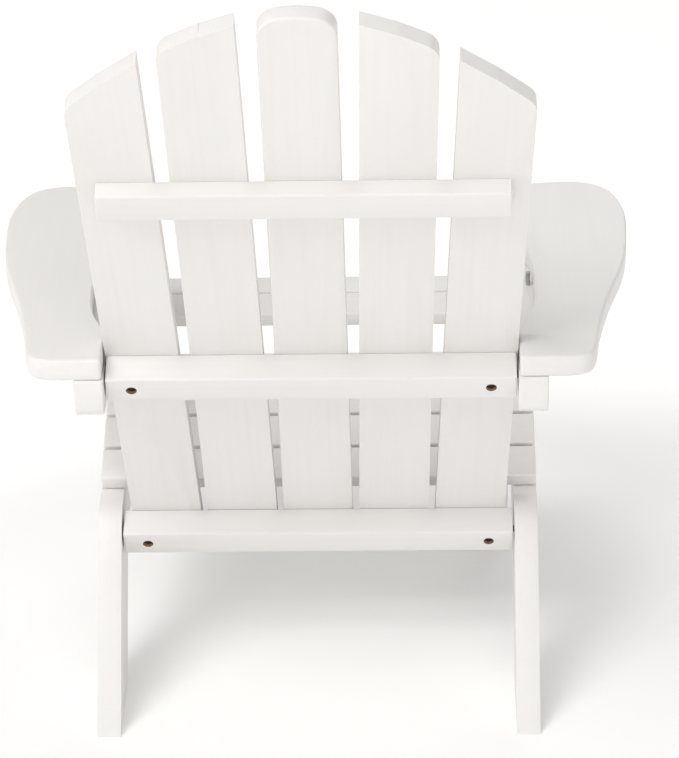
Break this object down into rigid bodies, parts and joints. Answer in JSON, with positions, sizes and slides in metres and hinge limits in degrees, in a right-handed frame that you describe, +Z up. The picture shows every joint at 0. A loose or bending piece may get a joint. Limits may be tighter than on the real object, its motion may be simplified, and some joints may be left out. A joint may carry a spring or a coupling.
{
  "type": "adirondack chair",
  "caption": "Low wooden garden armchair for a child with a leaning fanned back of slats, wide paddle arms, a sloping slatted seat and bent side rails, bolted together.",
  "frame": {"origin": "on the floor, in the middle of the chair's width and depth", "axes": "+Z up, the sitter faces -Y, +X is the sitter's left"},
  "size_m": [0.485, 0.4724, 0.6424],
  "materials": {
    "painted_back_wood": "white satin paint over fine straight grain",
    "painted_seat_wood": "white satin paint over fine straight grain",
    "painted_arm_wood": "white satin paint over fine straight grain",
    "painted_frame_wood": "white satin paint over fine straight grain",
    "dark_steel": "dark plated steel",
    "zinc_steel": "zinc plated steel",
    "painted_screws": "screw heads filled and painted over in the white of the boards"
  },
  "bodies": {
    "root": {"back_slat_1": "painted_back_wood", "back_slat_2": "painted_back_wood", "back_slat_3": "painted_back_wood", "back_slat_4": "painted_back_wood", "back_slat_5": "painted_back_wood", "upper_batten": "painted_frame_wood", "middle_batten": "painted_frame_wood", "lower_batten": "painted_frame_wood", "side_rail_left": "painted_frame_wood", "side_rail_right": "painted_frame_wood", "front_leg_left": "painted_frame_wood", "front_leg_right": "painted_frame_wood", "seat_slat_1": "painted_seat_wood", "seat_slat_2": "painted_seat_wood", "seat_slat_3": "painted_seat_wood", "seat_slat_4": "painted_seat_wood", "seat_slat_front": "painted_seat_wood", "seat_nosing": "painted_seat_wood", "arm_beam_left": "painted_arm_wood", "arm_beam_right": "painted_arm_wood", "arm_left": "painted_arm_wood", "arm_right": "painted_arm_wood", "batten_bolts": "dark_steel", "batten_washers": "dark_steel", "barrel_nuts": "zinc_steel", "leg_bolts": "dark_steel", "leg_washers": "dark_steel", "leg_nuts": "dark_steel", "back_screws": "painted_screws", "seat_screws": "painted_screws", "arm_screws": "zinc_steel"}
  },
  "joints": []
}
